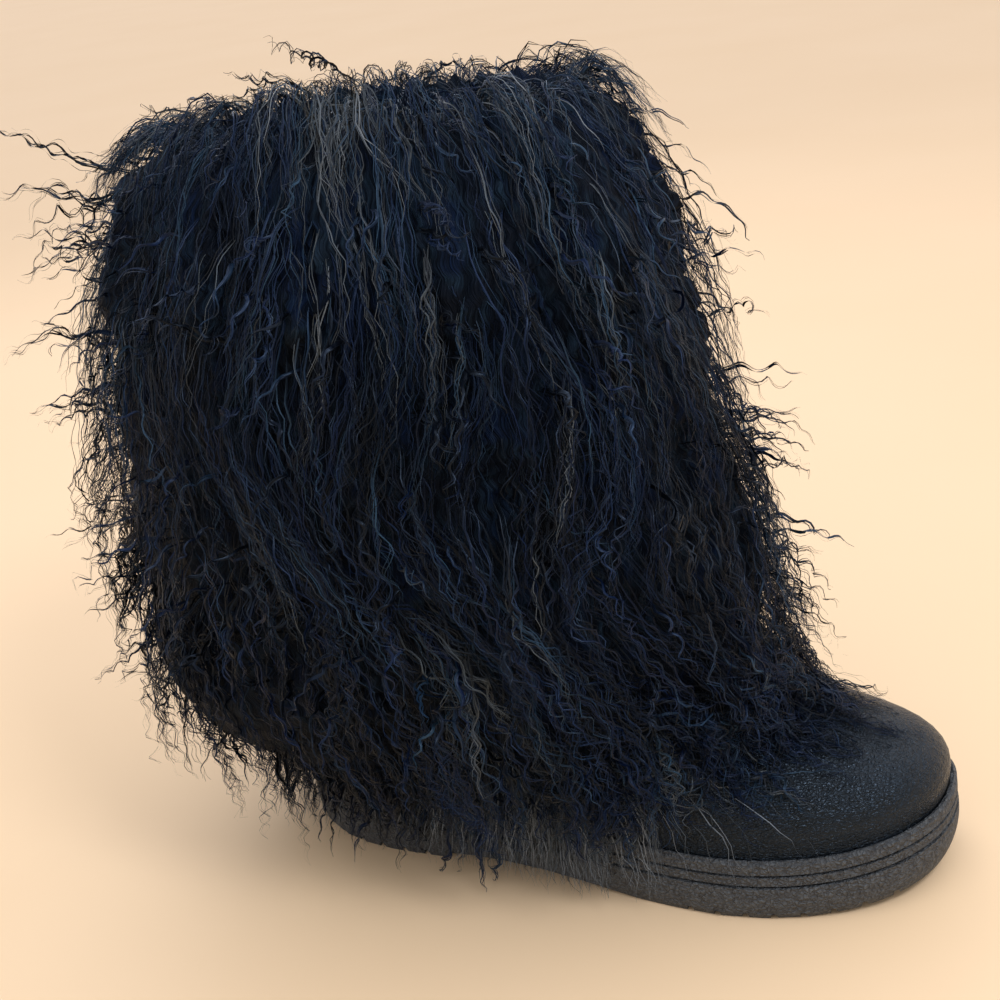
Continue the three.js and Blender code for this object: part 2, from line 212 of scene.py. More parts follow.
# dyed long-wool lambskin: near-black hair, some locks navy, some slate or brown, with a soft cool gloss
# along each lock and painted shade towards its root; a ribbon's UV holds its tone and its width across, and
# root to tip upwards
def dyedLambHair():
    look = {"tones": [(0.0, "#010204"), (0.2, "#02050d"), (0.36, "#061129"), (0.5, "#0a182b"),
                      (0.62, "#203443"), (0.72, "#201f20"), (0.84, "#3a3e3e"), (0.92, "#4c5051"),
                      (1.0, "#6a6d6e")],
            "fleck": (0.35, 1.8), "paintedRootShade": 0.14, "relief": 0.25}
    made, add = newMaterial("dyed_curly_lamb_hair")
    uv = add("UVMap", {"uv_map": "strand"})
    parts = add("SeparateXYZ", links={0: uv})
    column = add("Math", {"operation": "MULTIPLY"}, {1: toneColumns}, {0: parts})
    across = add("Math", {"operation": "FRACT"}, links={0: column})
    tone = add("ValToRGB", links={0: parts}, stops=look["tones"])
    lanes = add("CombineXYZ", links={0: column, 1: parts.outputs[1]})
    fibres = add("Mapping", values={"Scale": (5.0, 3.0, 1.0)}, links={"Vector": lanes})
    streak = add("TexNoise", flat, {"Scale": 1.0}, {"Vector": fibres})
    swell = add("Math", {"operation": "PINGPONG"}, {1: 0.5}, {0: across})
    crown = add("MapRange", softly, {"From Min": -0.3, "From Max": 0.5}, {"Value": swell})
    height = add("Math", timesPlus, {1: 0.5}, {0: streak, 2: crown})
    bump = add("Bump", values={"Strength": 0.5, "Distance": look["relief"] * mm}, links={"Height": height})
    dark, pale = look["fleck"]
    fleck = add("MapRange", links={"Value": streak},
                values={"From Min": 0.3, "From Max": 0.7, "To Min": dark, "To Max": pale})
    # painted shade: the hair darkens towards the root, as deep in the coat where little light reaches
    depth = add("MapRange", softly,
                {"From Min": 0.05, "From Max": 0.7, "To Min": look["paintedRootShade"]},
                {"Value": parts.outputs[1]})
    both = add("Math", {"operation": "MULTIPLY"}, links={0: fleck, 1: depth})
    shade = add("VectorMath", {"operation": "SCALE"}, links={0: tone, "Scale": both})
    skin = add("BsdfPrincipled", links={"Base Color": shade, "Normal": bump},
               values={"Roughness": 0.4, "IOR": 1.55, "Specular IOR Level": 0.26,
                       "Specular Tint": linear("#b6cbe6")})
    add("OutputMaterial", links={"Surface": skin})
    return made


# the dense wool under the locks: the same hair, matted into fine wavy streaks and clumps, in navy, slate and
# brown patches, with painted shade between the clumps and painted light paler towards the collar; its UV
# holds mm round the coat and up it
def denseUnderwool():
    look = {"wave": 9.0, "swing": 0.7, "bend": 4.0, "bendOver": 9.0, "streak": 0.42, "clump": 1.5,
            "patch": 22.0, "deep": "#010308", "navy": "#071226", "slate": "#131f29", "brown": "#0d1016",
            "relief": 1.1,
            "paler": {"From Min": 235, "From Max": 300, "To Min": 1.0, "To Max": 1.5}}   # towards the collar, paler as painted light from above
    made, add = newMaterial("dense_underwool")
    uv = add("UVMap", {"uv_map": "coat"})
    parts = add("SeparateXYZ", links={0: uv})
    bend = add("TexNoise", flat, {"Scale": 1 / look["bendOver"]}, {"Vector": uv})
    turn = add("Math", {"operation": "MULTIPLY"}, {1: fullTurn / look["wave"]}, {0: parts.outputs[1]})
    phase = add("Math", timesPlus, {1: look["bend"]}, {0: bend, 2: turn})
    swing = add("Math", {"operation": "SINE"}, links={0: phase})
    across = add("Math", timesPlus, {1: look["swing"]}, {0: swing, 2: parts})
    lane = add("CombineXYZ", links={0: across, 1: parts.outputs[1]})
    fine = add("Mapping", values={"Scale": (1 / look["streak"], 0.07, 1.0)}, links={"Vector": lane})
    wide = add("Mapping", values={"Scale": (1 / look["clump"], 0.05, 1.0)}, links={"Vector": lane})
    streak = add("TexNoise", flat, {"Scale": 1.0}, {"Vector": fine})
    clump = add("TexNoise", flat, {"Scale": 1.0}, {"Vector": wide})
    height = add("Math", timesPlus, {1: 1.6}, {0: clump, 2: streak})
    bump = add("Bump", values={"Distance": look["relief"] * mm}, links={"Height": height})
    # painted shade: the low streaks between the clumps take the deep colour
    spread = add("MapRange", values={"From Min": 1.1, "From Max": 1.6}, links={"Value": height})
    broad = add("TexNoise", flat, {"Scale": 1 / look["patch"], "Detail": 3.0}, {"Vector": uv})
    dyed = add("ValToRGB", links={0: broad},
               stops=[(0.38, look["navy"]), (0.5, look["slate"]), (0.64, look["brown"])])
    # painted light: the wool is made paler towards the collar, as lit from above
    lift = add("MapRange", values=look["paler"], links={"Value": parts.outputs[1]})
    lit = add("VectorMath", {"operation": "SCALE"}, links={0: dyed, "Scale": lift})
    tone = add("Mix", colourMix, {6: linear(look["deep"])}, {0: spread, 7: lit})
    skin = add("BsdfPrincipled", links={"Base Color": tone.outputs[2], "Normal": bump},
               values={"Roughness": 0.6, "Specular IOR Level": 0.15, "Specular Tint": linear("#a9c2e8")})
    add("OutputMaterial", links={"Surface": skin})
    return made


# matt painted board: an even pale surface with a faint cloud of tone
def paintedBoard():
    look = {"cloudsPerMetre": 3.0, "darker": "#debd93", "paler": "#e3c49d"}
    made, add = newMaterial("matt_painted_board")
    place = add("TexCoord").outputs["Object"]
    cloud = add("TexNoise", values={"Scale": look["cloudsPerMetre"], "Detail": 4.0}, links={"Vector": place})
    tone = add("Mix", colourMix, {6: linear(look["darker"]), 7: linear(look["paler"])}, {0: cloud})
    skin = add("BsdfPrincipled", values={"Roughness": 0.6}, links={"Base Color": tone.outputs[2]})
    add("OutputMaterial", links={"Surface": skin})
    return made


leather = crackleLeather()
rubber = mouldedRubber()
fleece = pileFleece()
hair = dyedLambHair()
underwool = denseUnderwool()
print("materials made")


# angles in degrees, lengths in mm, lamps' power in watts; the floor's half width is in metres
shot = {"yaw": 24.6, "pitch": 22.76, "roll": -7.72, "distance": 582.87, "aim": (-33.84, 0.0, 146.38),
        "lens": 54.0, "sensor": 36}
board = {"half": 9}
lamps = [
    {"name": "key", "from": (640, -430, 1080), "size": 280, "power": 8.0, "colour": "#eaf1ff"},
    {"name": "rim", "from": (-500, 800, 900), "size": 800, "power": 3.2, "colour": "#eef3ff"},
]
lampAim = (0, 0, 140)
room = {"overhead": 1.58, "level": 0.63, "colour": "#f4f6ff"}   # brighter overhead, as under a ceiling light


def setCamera():
    yaw, pitch, roll = (math.radians(shot[name]) for name in ("yaw", "pitch", "roll"))
    back = Vector((math.sin(yaw) * math.cos(pitch), -math.cos(yaw) * math.cos(pitch), math.sin(pitch)))
    right = Vector((math.cos(yaw), math.sin(yaw), 0))
    up = back.cross(right)
    across = right * math.cos(roll) + up * math.sin(roll)
    rise = up * math.cos(roll) - right * math.sin(roll)
    aim = Vector(shot["aim"]) * mm + Vector((bootX, bootY, 0))
    camera = bpy.data.objects.new("camera", bpy.data.cameras.new("camera"))
    camera.data.lens = shot["lens"]
    camera.data.sensor_width = shot["sensor"]
    turn = Matrix((across, rise, back)).transposed().to_4x4()
    camera.matrix_world = Matrix.Translation(aim + back * shot["distance"] * mm) @ turn
    scene.collection.objects.link(camera)
    scene.camera = camera


def setFloor():
    work = bmesh.new()
    bmesh.ops.create_grid(work, x_segments=2, y_segments=2, size=board["half"])
    mesh = bpy.data.meshes.new("floor")
    work.to_mesh(mesh)
    work.free()
    mesh.materials.append(paintedBoard())
    floor = bpy.data.objects.new("floor", mesh)
    scene.collection.objects.link(floor)


def setLight():
    middle = Vector(lampAim) * mm
    for lamp in lamps:
        light = bpy.data.lights.new(lamp["name"], "AREA")
        light.size = lamp["size"] * mm
        light.energy = lamp["power"]
        light.color = linear(lamp["colour"])[:3]
        holder = bpy.data.objects.new(lamp["name"], light)
        spot = Vector(lamp["from"]) * mm
        facing = (middle - spot).to_track_quat("-Z", "Y").to_matrix().to_4x4()
        holder.matrix_world = Matrix.Translation(spot) @ facing
        scene.collection.objects.link(holder)
    world = bpy.data.worlds.new("soft_room")
    world.use_nodes = True
    tree = world.node_tree
    way = addNode(tree, "SeparateXYZ", links={0: addNode(tree, "TexCoord").outputs["Generated"]})
    glow = addNode(tree, "MapRange", values={"To Min": room["level"], "To Max": room["overhead"]},
                   links={"Value": way.outputs[2]})
    tree.nodes["Background"].inputs[0].default_value = linear(room["colour"])
    tree.links.new(glow.outputs[0], tree.nodes["Background"].inputs[1])
    scene.world = world
    scene.view_settings.view_transform = "Standard"


setCamera()
setFloor()
setLight()
print("camera, floor and light set")


# how a solid is rounded off: angles in degrees, gap of merged points in metres
rounding = {"merge": 2e-6, "flat": 25, "shape": 60}


def smoothCopy(nodeName, sharpAngle, levels):
    work = bmesh.new()
    work.from_mesh(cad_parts[nodeName].data)
    bmesh.ops.remove_doubles(work, verts=work.verts, dist=rounding["merge"])
    bmesh.ops.join_triangles(work, faces=work.faces, angle_face_threshold=math.radians(rounding["flat"]),
                             angle_shape_threshold=math.radians(rounding["shape"]))
    crease = work.edges.layers.float.new("crease_edge")
    for edge in work.edges:
        sharp = len(edge.link_faces) != 2 or edge.calc_face_angle() > math.radians(sharpAngle)
        edge.smooth = not sharp
        edge[crease] = 1.0 if sharp else 0.0
    for face in work.faces:
        face.smooth = True
    mesh = bpy.data.meshes.new(nodeName + "_smooth")
    work.to_mesh(mesh)
    work.free()
    holder = bpy.data.objects.new(nodeName + "_work", mesh)
    scene.collection.objects.link(holder)
    rounder = holder.modifiers.new("round", "SUBSURF")
    rounder.levels = rounder.render_levels = levels
    fine = bpy.data.meshes.new_from_object(holder.evaluated_get(bpy.context.evaluated_depsgraph_get()))
    bpy.data.objects.remove(holder)
    return fine


# the foot's main flex folds: x along the boot, lean forward per mm of height, width and depth of the trough
footFolds = [
    {"x": 46, "lean": 0.35, "width": 4.5, "depth": 1.0},
    {"x": 60, "lean": 0.25, "width": 4.0, "depth": 0.8},
    {"x": 73, "lean": 0.10, "width": 5.0, "depth": 0.7},
]
# heights in mm between which the folds show and fade out, and the low ridge beside each trough
foldZone = {"low": 27, "high": 84, "fadeLow": 5, "fadeHigh": 12, "middle": 40, "ridge": 0.45, "ridgeAt": 1.7}


def makeFoot():
    for node in ("outsole", "midsole", "welt"):
        addPiece(node + "_moulded", smoothCopy(node, 24, 2), rubber, [node])
    bed = addPiece("insole_fleece", smoothCopy("insole", 30, 2), fleece, ["insole"])

    mesh = smoothCopy("upper", 40, 1)
    work = bmesh.new()
    work.from_mesh(mesh)
    work.normal_update()
    low, high = foldZone["low"], foldZone["high"]
    for vert in work.verts:
        x, z = (vert.co.x - bootX) / mm, vert.co.z / mm
        if z > high or z < low:
            continue
        fade = min(1, (high - z) / foldZone["fadeHigh"]) * min(1, (z - low) / foldZone["fadeLow"])
        for fold in footFolds:
            away = (x - fold["x"] + fold["lean"] * (z - foldZone["middle"])) / fold["width"]
            ridge = foldZone["ridge"] * math.exp(-(away - foldZone["ridgeAt"]) ** 2)
            vert.co -= vert.normal * fold["depth"] * mm * fade * (math.exp(-away * away) - ridge)
    work.to_mesh(mesh)
    work.free()
    addPiece("upper_hide", mesh, leather, ["upper"])
    return mesh


# the shaft's axis leans back towards the collar: its heights, and its places along the boot, in mm
shaftAxis = {"height": [40, 100, 140, 200, 290], "x": [-20, -45, -56, -61, -63.5]}


def axisAt(z):
    return np.interp(z, np.array(shaftAxis["height"]) * mm, np.array(shaftAxis["x"]) * mm) + bootX


# fleece lining: the inner wall of the upper, set in and given a pile's thickness, in mm
lining = {"from": 60, "gap": 0.3, "thick": 2.4, "uneven": 0.5, "tuft": 5, "facing": 0.3}


def makeLining(upperMesh):
    work = bmesh.new()
    work.from_mesh(upperMesh)
    work.normal_update()
    outer = []
    for face in work.faces:
        middle = face.calc_center_median()
        inward = Vector((axisAt(middle.z) - middle.x, bootY - middle.y, 0)).normalized()
        if middle.z < lining["from"] * mm or face.normal.dot(inward) < lining["facing"]:
            outer.append(face)
    bmesh.ops.delete(work, geom=outer, context="FACES")
    for vert in work.verts:
        pile = noise.noise(vert.co / (lining["tuft"] * mm)) * lining["uneven"]
        vert.co += vert.normal * (lining["gap"] + lining["thick"] + pile) * mm
    bmesh.ops.solidify(work, geom=work.faces[:], thickness=lining["thick"] * mm)
    for face in work.faces:
        face.smooth = True
    mesh = bpy.data.meshes.new("lining")
    work.to_mesh(mesh)
    work.free()
    addPiece("lining_fleece", mesh, fleece)


makeLining(makeFoot())
print("sole, upper, insole and lining made")


# hide and coat as radius tables, by turn round the shaft's axis and by height; lengths in mm
coat = {"turns": 160, "heights": 96, "low": 4, "top": 318, "probe": 500, "least": 3, "hemSoft": 6}
turnList = np.linspace(0, fullTurn, coat["turns"], endpoint=False)
heightList = np.linspace(coat["low"], coat["top"], coat["heights"]) * mm


def radiusTable(names):
    points, faces = [], []
    for name in names:
        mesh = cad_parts[name].data
        start = len(points)
        points += [vert.co.copy() for vert in mesh.vertices]
        faces += [[start + i for i in poly.vertices] for poly in mesh.polygons]
    tree = BVHTree.FromPolygons(points, faces)
    table = np.full((len(heightList), len(turnList)), np.nan)
    probe = coat["probe"] * mm
    for j, z in enumerate(heightList):
        centre = Vector((axisAt(z), bootY, z))
        for i, turn in enumerate(turnList):
            way = Vector((math.cos(turn), math.sin(turn), 0))
            hit = tree.ray_cast(centre + way * probe, -way, probe)[0]
            if hit is not None:
                table[j, i] = (hit - centre).dot(way)
    return table


def fillTable(table):
    full = table.copy()
    for i in range(full.shape[1]):
        known = np.flatnonzero(~np.isnan(full[:, i]))
        full[:, i] = np.interp(np.arange(full.shape[0]), known, full[known, i])
    return full


def softTable(table, reach):
    out = sum(np.roll(table, k, axis=1) for k in range(-reach, reach + 1)) / (2 * reach + 1)
    edge = np.pad(out, ((reach, reach), (0, 0)), mode="edge")
    return sum(edge[k:k + out.shape[0]] for k in range(2 * reach + 1)) / (2 * reach + 1)


def readTable(table, turn, z):
    i = np.mod(turn, fullTurn) / fullTurn * table.shape[1]
    i0 = np.floor(i).astype(int) % table.shape[1]
    fi = i - np.floor(i)
    j = np.clip((z - heightList[0]) / (heightList[1] - heightList[0]), 0, table.shape[0] - 1.001)
    j0 = np.floor(j).astype(int)
    fj = j - j0
    i1 = (i0 + 1) % table.shape[1]
    return ((table[j0, i0] * (1 - fi) + table[j0, i1] * fi) * (1 - fj)
            + (table[j0 + 1, i0] * (1 - fi) + table[j0 + 1, i1] * fi) * fj)


coatRaw = radiusTable(["fur"])
hideTable = softTable(fillTable(radiusTable(["upper", "welt", "midsole", "outsole"])), 1)
coatTable = np.maximum(softTable(fillTable(coatRaw), 2), hideTable + coat["least"] * mm)
hemList = np.array([heightList[np.flatnonzero(~np.isnan(column))[0]] for column in coatRaw.T])
hemReach = coat["hemSoft"]
hemList = sum(np.roll(hemList, k) for k in range(-hemReach, hemReach + 1)) / (2 * hemReach + 1)
print("coat measured, hem from", hemList.min(), "to", hemList.max())


def hemAt(turn):
    return np.interp(np.mod(turn, fullTurn), np.append(turnList, fullTurn), np.append(hemList, hemList[0]))


def onShaft(turn, radius, z):
    return np.stack([axisAt(z) + radius * np.cos(turn), bootY + radius * np.sin(turn), z], axis=-1)


def turnAndRadius(points):
    x, y = points[..., 0] - axisAt(points[..., 2]), points[..., 1] - bootY
    return np.arctan2(y, x), np.hypot(y, x)


# from 0 to 1 over some mm below a level, or above it
def below(z, level, over):
    return np.clip((level * mm - z) / (over * mm), 0, 1)


def above(z, level, over):
    return np.clip((z - level * mm) / (over * mm), 0, 1)


# the collar's hair lies lower at the back and the inner side, and stands higher on the outer side:
# by how much, at which turn, and how far round
collar = {"back": (0.45, 3.05, 0.75), "inner": (0.25, 1.6, 0.7), "outer": (0.45, 4.95, 0.75)}


def standing(turn):
    part = {}
    for side, (much, middle, wide) in collar.items():
        part[side] = much * np.exp(-((np.mod(turn, fullTurn) - middle) / wide) ** 2)
    return 1 - (part["back"] + part["inner"]) + part["outer"]


# underwool: a closed sleeve inside the coat with wavy ridges, so no light passes between the locks
# behind the heel its underside slants down to the hide; lengths in mm, depth as a share of the coat's
wool = {"around": 190, "up": 100, "inner": 8, "depth": 0.82, "ridge": 2.4, "hemLift": 7.0, "heelHem": 24.0,
        "rim": 304, "topDrop": 3.0, "backDrop": 10.0, "tuft": 2.2, "hemTuft": 5.0, "heelDepth": 0.1,
        "girth": 85, "ridges": 7, "lane": (0.9, 1.9), "slant": 0.05, "least": 1.2, "innerGap": 0.6}


def makeUnderwool():
    work = bmesh.new()
    rows = wool["up"] + wool["inner"]
    bmesh.ops.create_grid(work, x_segments=wool["around"], y_segments=rows, size=0.5)
    place = np.array([vert.co[:2] for vert in work.verts]) + 0.5
    turn = place[:, 0] * fullTurn
    row = place[:, 1] * rows
    outside = row <= wool["up"]
    climb = np.where(outside, row / wool["up"], (rows - row) / wool["inner"])
    behind = np.clip((-np.cos(turn) - 0.1) / 0.6, 0, 1)
    low = (hemAt(turn) + wool["hemLift"] * mm) * (1 - behind) + wool["heelHem"] * mm * behind
    top = (wool["rim"] - wool["topDrop"]) * mm - wool["backDrop"] * mm * np.maximum(1 - standing(turn), 0)
    top = top + wool["tuft"] * mm * (np.sin(23 * turn) + np.sin(37 * turn + 1) + np.sin(58 * turn + 2)) / 2
    low = low + wool["hemTuft"] * mm * (np.sin(29 * turn) + np.sin(47 * turn + 1)) / 2
    z = low + (top - low) * climb
    inner = readTable(hideTable, turn, z)
    deep = readTable(coatTable, turn, z) - inner
    deep = deep * (wool["depth"] + wool["heelDepth"] * behind * below(z, 130, 40))
    rounded = np.clip(np.minimum(climb * (5.5 + 2.5 * behind), (1 - climb) * 16), 0, 1)   # at hem and rim
    rounded = rounded ** (0.65 + 0.15 * behind)
    around = turn * wool["girth"]                      # mm round the coat
    waved = around + 1.8 * np.sin(z / mm / 2.2 + 2 * np.sin(turn * 9))
    ridge = np.zeros(len(turn))
    for k in range(wool["ridges"]):
        lanes = round(wool["girth"] / rng.uniform(*wool["lane"]))   # whole waves round, so the seam closes
        slant = rng.uniform(-wool["slant"], wool["slant"])
        phase = lanes * waved / wool["girth"] + slant * z / mm + rng.random() * anyPhase
        ridge += np.sin(phase) / wool["ridges"] ** 0.5
    thick = np.maximum(deep * rounded + ridge * wool["ridge"] * mm * rounded, wool["least"] * mm)
    spots = onShaft(turn, inner + np.where(outside, thick, wool["innerGap"] * mm), z)
    for vert, spot in zip(work.verts, spots):
        vert.co = spot
    work.verts.index_update()
    uv = work.loops.layers.uv.new("coat")
    for face in work.faces:
        face.smooth = True
        for loop in face.loops:
            loop[uv].uv = (around[loop.vert.index], z[loop.vert.index] / mm)
    bmesh.ops.remove_doubles(work, verts=work.verts, dist=1e-6)
    bmesh.ops.recalc_face_normals(work, faces=work.faces)
    mesh = bpy.data.meshes.new("underwool")
    work.to_mesh(mesh)
    work.free()
    addPiece("fur_underwool", mesh, underwool, ["fur"])


makeUnderwool()
print("underwool made")

# locks by the height of their roots, in mm: where they leave the wool, how they swell out, how far they fall
# and rise, their wave's length and width, how wide their roots stand and how far they gather at the tip
locks = {
    "height": [40, 60, 80, 125, 180, 240, 272, 294],
    "start": [0.35, 0.55, 0.72, 0.78, 0.8, 0.72, 0.45, 0.04],
    "ease": [1.8, 1.8, 1.8, 1.8, 1.8, 1.8, 1.4, 1.05],
    "fall": [36, 46, 52, 58, 64, 68, 70, 68],
    "rise": [0, 0, 0, 3, 5, 8, 10, 15],
    "wave": [10, 9.5, 9.5, 10.5, 12, 13, 13.5, 14],
    "swing": [1.3, 1.8, 1.9, 1.7, 1.3, 1.0, 0.9, 0.9],
    "spread": [4.0, 4.2, 4.6, 5.0, 5.5, 6.0, 6.0, 6.0],
    "gather": [0.84, 0.88, 0.88, 0.84, 0.78, 0.62, 0.5, 0.5],
    "reach": (0.96, 1.22), "ringlet": 0.25,
    "from": 38, "to": 298, "spacing": 10.2, "rimFrom": 256, "rimSpacing": 7.8,
}
lineSteps = np.linspace(0, 1, 60)[None, :]             # places along a lock's middle line
freely = 1.0                                           # metres, longer than any lock


def rowValue(name, z):
    return np.interp(z / mm, locks["height"], locks[name])


def plantLocks():
    turns, heights = [], []
    z = locks["from"] * mm
    while z < locks["to"] * mm:
        atRim = z > locks["rimFrom"] * mm
        step = locks["rimSpacing" if atRim else "spacing"] * mm
        radius = readTable(coatTable, turnList, np.full(len(turnList), z)).mean() * (0.62 if atRim else 0.8)
        count = int(fullTurn * radius / step)
        first = rng.random()
        for k in range(count):
            turn = (k + first + rng.uniform(-0.4, 0.4)) / count * fullTurn
            height = z + rng.uniform(-0.5, 0.5) * step
            if height > hemAt(turn) - 4 * mm:
                turns.append(turn)
                heights.append(height)
        z += step
    return np.array(turns), np.array(heights)


# spaces a line's points evenly, up to a longest length
def lineRoots(line, longest, turn, z):
    steps = np.linalg.norm(np.diff(line, axis=1), axis=2)
    run = np.concatenate([np.zeros((len(line), 1)), np.cumsum(steps, axis=1)], axis=1)
    length = np.minimum(run[:, -1], longest)
    even = np.empty_like(line)
    for n in range(len(line)):
        at = np.linspace(0, length[n], line.shape[1])
        for c in range(3):
            even[n, :, c] = np.interp(at, run[n], line[n, :, c])
    return {"guide": even, "length": length, "far": turn, "z": z}


# a lock's middle line leaves the wool, swells out to the coat's face and then falls; lengths in mm
lockLine = {"swell": 4, "bow": 1.35, "wander": 0.05, "wanderOver": 21, "hideTop": 287, "hideGap": 2,
            "spare": 6}


def guideLines(turn, z, fall, rise, reach, lean, longest=None):
    t = lineSteps
    hide = readTable(hideTable, turn, z)
    deep = readTable(coatTable, turn, z) - hide
    middle = z - 0.5 * fall
    end = readTable(hideTable, turn, middle)
    first = hide + rowValue("start", z) * deep
    far = end + reach * (readTable(coatTable, turn, middle) - end)
    far = np.maximum(far, first + lockLine["swell"] * mm)
    radius = first[:, None] + (far - first)[:, None] * (1 - (1 - t) ** rowValue("ease", z)[:, None])
    height = z[:, None] + rise[:, None] * 4 * t * (1 - t) - fall[:, None] * t ** lockLine["bow"]
    around = turn[:, None] + lean[:, None] * t
    around += lockLine["wander"] * np.sin(height / (lockLine["wanderOver"] * mm) + 3 * turn[:, None])
    clear = readTable(hideTable, around, height) + lockLine["hideGap"] * mm
    radius = np.maximum(radius, np.where(height < lockLine["hideTop"] * mm, clear, 0))
    longest = longest or 1.25 * (fall + rise) + lockLine["spare"] * mm
    return lineRoots(onShaft(around, radius, height), longest, around[:, -1], z)


def unit(v):
    return v / np.maximum(np.linalg.norm(v, axis=-1, keepdims=True), 1e-9)


# hairs follow their bundle, the bundle winds round its lock's line, tighter towards the tip; lengths in mm
strand = {"out": 0.45, "waveFrom": 0.03, "waveOver": 0.4, "driftOver": 41, "wobble": 0.35, "frizzOver": 4.6,
          "close": 0.72, "lift": 0.75}


def hairLines(guide, length, turn, curl, steps, early):
    n = len(turn)
    col = {key: value[:, None] for key, value in curl.items()}
    t = np.linspace(0, 1, steps)[None, :] ** early
    part = t * col["share"]
    at = part * (guide.shape[1] - 1)
    i0 = np.clip(np.floor(at).astype(int), 0, guide.shape[1] - 2)
    f = (at - i0)[..., None]
    rows = np.arange(n)[:, None]
    base = guide[rows, i0] * (1 - f) + guide[rows, i0 + 1] * f
    along = unit(guide[rows, i0 + 1] - guide[rows, i0])
    out = np.stack([np.cos(turn), np.sin(turn), np.full(n, strand["out"])], axis=-1)
    side = unit(np.cross(along, unit(out + curl["tilt"])[:, None, :]))
    out = np.cross(side, along)
    run = part * length[:, None]
    ramp = np.clip((t - strand["waveFrom"]) / strand["waveOver"], 0, 1) ** 1.2
    angle = fullTurn * length[:, None] / col["wave"] * 2 * np.log(1.25 / (1.25 - 0.5 * part)) + col["phase"]
    swing = col["swing"] * ramp * (0.85 + 0.45 * np.sin(0.27 * angle + 2 * col["second"]))
    drift = col["drift"] * np.sin(fullTurn * run / (strand["driftOver"] * mm) + 3 * col["second"]) * ramp
    wobble = strand["wobble"] * np.sin(0.61 * angle + col["second"])
    frizz = col["frizz"] * np.sin(fullTurn * run / (strand["frizzOver"] * mm) + col["second"] * 5) * ramp
    keep = 1 - col["gather"] * t ** 0.8
    close = 1 - strand["close"] * t
    move = col["lockA"] * keep + col["hairA"] * close
    move = move + swing * (np.sin(angle) + wobble) * col["hand"] + frizz + drift
    lift = col["lockB"] * keep + col["hairB"] * close + strand["lift"] * swing * (np.cos(angle) + wobble)
    return base + side * move[..., None] + out * lift[..., None], t


# hair stays off the hide and the floor, and bends back softly short of the part's allowed box; in mm
clearance = {"hideTop": 286, "hide": 1.0, "floor": 1.5, "share": 0.027, "spare": 8.5, "soft": 7}


def keepClear(points):
    turn, radius = turnAndRadius(points)
    z = points[..., 2]
    hide = readTable(hideTable, turn, z) + clearance["hide"] * mm
    clear = onShaft(turn, np.maximum(radius, np.where(z < clearance["hideTop"] * mm, hide, 0)), z)
    clear[..., 2] = np.maximum(z, clearance["floor"] * mm)
    low, high = np.array(cadBox[0]), np.array(cadBox[1])
    spare, soft = (high - low) * clearance["share"] + clearance["spare"] * mm, clearance["soft"] * mm
    eased = high + spare - soft * (1 - np.tanh((clear - high - spare + soft) / soft))
    clear = np.where(clear > high + spare - soft, eased, clear)
    return np.where(clear < low - spare + soft, np.maximum(clear, low - spare), clear)


# each hair bundle is one ribbon that twists a little and tapers to its tip
ribbon = {"out": 0.5, "twist": 0.6, "rootWidth": 0.35, "widen": 2.5, "thin": 0.82, "thinFrom": 0.4}


def hairMesh(name, points, t, width, roll, tone, rootShade):
    n, s = points.shape[:2]
    ahead = unit(np.gradient(points, axis=1))
    turn = turnAndRadius(points)[0]
    out = np.stack([np.cos(turn), np.sin(turn), np.full_like(turn, ribbon["out"])], axis=-1)
    side = unit(np.cross(ahead, out))
    face = np.cross(side, ahead)
    angle = (roll[:, None] + ribbon["twist"] * np.sin(4 * t + roll[:, None] * 9))[..., None]
    wide = side * np.cos(angle) + face * np.sin(angle)
    thin = 1 - ribbon["thin"] * np.clip((t - ribbon["thinFrom"]) / (1 - ribbon["thinFrom"]), 0, 1) ** 1.2
    taper = width[:, None] * np.clip(ribbon["rootWidth"] + t * ribbon["widen"], 0, 1) * thin
    half = wide * taper[..., None] / 2
    verts = np.stack([points - half, points + half], axis=2).reshape(-1, 3)
    first = (np.arange(n)[:, None] * s + np.arange(s - 1)[None, :]) * 2
    faces = np.stack([first, first + 1, first + 3, first + 2], axis=-1).reshape(-1, 4)
    column = np.floor(np.clip(tone, 0, 0.999) * toneColumns)
    shade = (np.repeat(column, s * 2) + np.tile([0.04, 0.96], n * s)) / toneColumns   # inside its column
    # painted shade: the UV's height runs root to tip and the hair material darkens low values; rootShade
    # lifts the root out of it
    climb = rootShade + (1 - rootShade) * np.repeat(np.broadcast_to(t, (n, s)).reshape(-1), 2)
    mesh = bpy.data.meshes.new(name)
    mesh.vertices.add(len(verts))
    mesh.vertices.foreach_set("co", verts.astype(np.float32).ravel())
    mesh.loops.add(faces.size)
    mesh.loops.foreach_set("vertex_index", faces.astype(np.int32).ravel())
    mesh.polygons.add(len(faces))
    mesh.polygons.foreach_set("loop_start", np.arange(0, faces.size, 4, dtype=np.int32))
    mesh.polygons.foreach_set("use_smooth", np.ones(len(faces), dtype=bool))
    uv = mesh.uv_layers.new(name="strand")
    corner = faces.ravel()
    uv.data.foreach_set("uv", np.stack([shade[corner], climb[corner]], axis=-1).astype(np.float32).ravel())
    mesh.update(calc_edges=True)
    return mesh


def disc(count, radius):
    rho, spin = np.sqrt(rng.random(count)) * radius, rng.random(count) * fullTurn
    return rho * np.cos(spin), rho * np.sin(spin)


